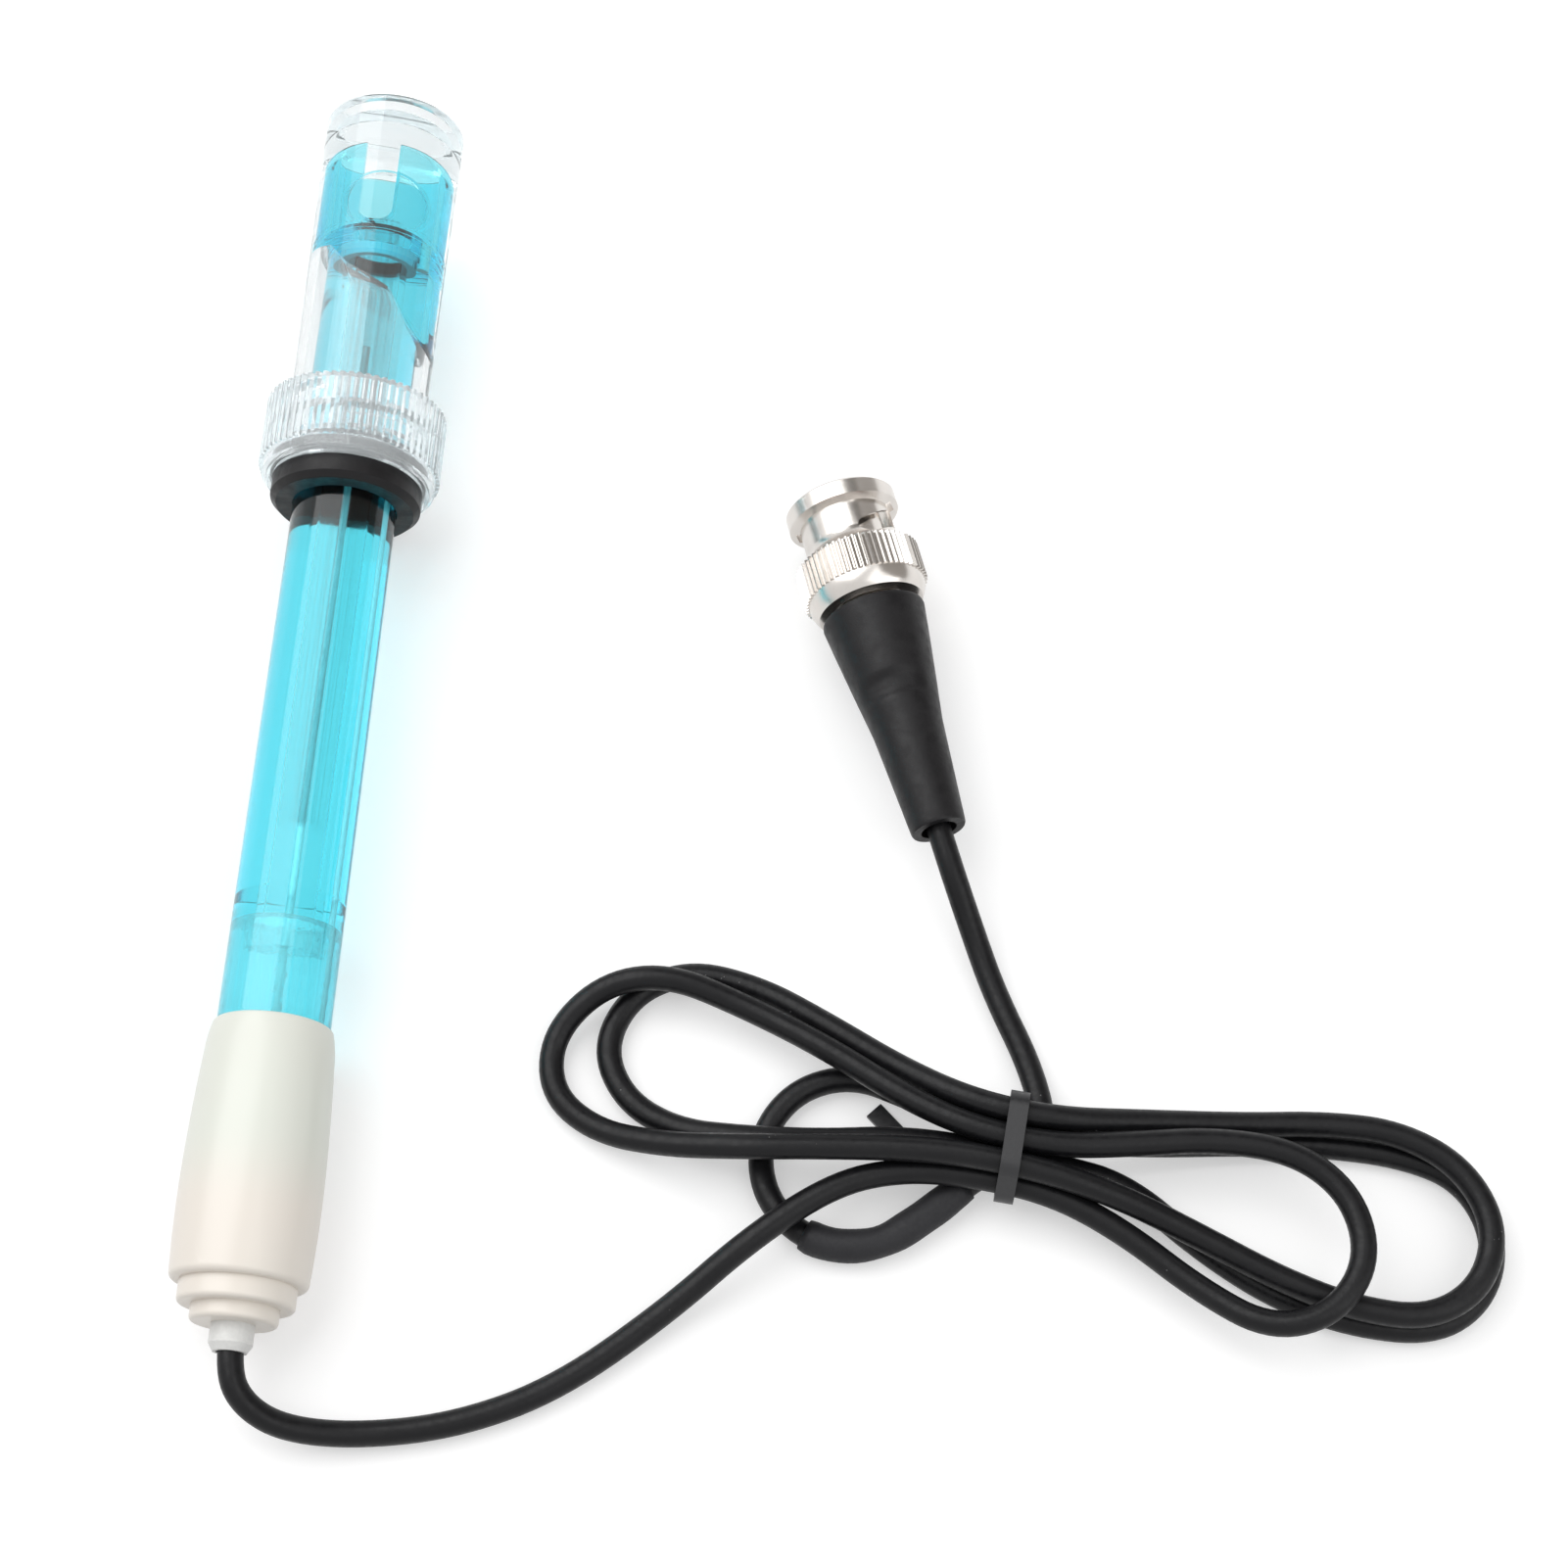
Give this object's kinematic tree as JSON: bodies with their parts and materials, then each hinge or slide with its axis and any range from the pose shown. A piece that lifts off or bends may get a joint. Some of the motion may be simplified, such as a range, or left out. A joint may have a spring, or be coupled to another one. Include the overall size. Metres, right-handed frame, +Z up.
{
  "type": "ph_electrode",
  "caption": "combination pH electrode in its screw-topped storage bottle, with a thin tied cable and a bayonet plug",
  "frame": {"origin": "on the surface, under the middle of the electrode with its bottle", "axes": "+Y runs along the electrode from the cable cap towards the bottle, +Z is up, +X is on the side of the tied cable"},
  "size_m": [0.1395, 0.1537, 0.0206],
  "materials": {
    "blue_plastic": "transparent blue, moulded",
    "cream_plastic": "cream, satin",
    "white_plastic": "white",
    "black_plastic": "black, matt",
    "clear_plastic": "clear moulded plastic",
    "clear_glass": "clear",
    "clear_liquid": "clear liquid",
    "silver": "silver wire",
    "nickel": "nickel plated",
    "gilt_brass": "gilt",
    "red_rubber": "soft ring",
    "black_rubber": "black, satin"
  },
  "bodies": {
    "electrode": {"electrode_body": "blue_plastic", "ceramic_junction": "white_plastic", "tip_seal": "black_rubber", "glass_stem": "clear_glass", "inner_wire": "silver", "reference_wire": "silver", "inner_buffer": "clear_liquid", "upper_seal": "white_plastic", "reference_gel": "clear_liquid", "cable_cap": "cream_plastic", "cable_bush": "white_plastic", "cap_potting": "white_plastic", "cable": "black_rubber", "shrink_sleeve": "black_plastic", "twist_tie": "black_plastic", "plug_body": "nickel", "outer_contact": "nickel", "centre_pin": "gilt_brass", "insulator": "white_plastic", "plug_gasket": "red_rubber", "spring_washer": "nickel", "retaining_ring": "nickel", "crimp_ferrule": "nickel", "boot": "black_rubber"},
    "bottle_body": {"bottle": "clear_plastic", "storage_solution": "clear_liquid"},
    "gasket_body": {"gasket": "black_rubber"},
    "nut_body": {"bottle_nut": "clear_plastic"},
    "coupling_slide": {"thrust_washer": "nickel"},
    "coupling_sleeve": {"coupling_nut": "nickel"}
  },
  "joints": [
    {"name": "bottle_pull", "type": "slide", "parent": "electrode", "child": "bottle_body", "axis": [0, 0.9995, 0.0321], "range_m": [0, 0.047]},
    {"name": "nut_travel", "type": "slide", "parent": "bottle_body", "child": "gasket_body", "axis": [0, -0.9995, -0.0321], "range_m": [0, 0.0065]},
    {"name": "nut_turn", "type": "hinge", "parent": "gasket_body", "child": "nut_body", "pos_m": [0, 0.02955, 0.0102], "axis": [0, -0.9995, -0.0321], "range_deg": [0, 720]},
    {"name": "coupling_push", "type": "slide", "parent": "electrode", "child": "coupling_slide", "axis": [-0.314, 0.9494, 0], "range_m": [0, 0.0007], "stiffness_N_per_m": 3000, "deforming": ["spring_washer"]},
    {"name": "coupling_turn", "type": "hinge", "parent": "coupling_slide", "child": "coupling_sleeve", "pos_m": [0.0555, 0.028, 0.0071], "axis": [0.314, -0.9494, 0], "continuous": true}
  ],
  "couplings": [
    {"joint": "nut_travel", "follows": "nut_turn", "m_per_rad": 0.0005093}
  ]
}
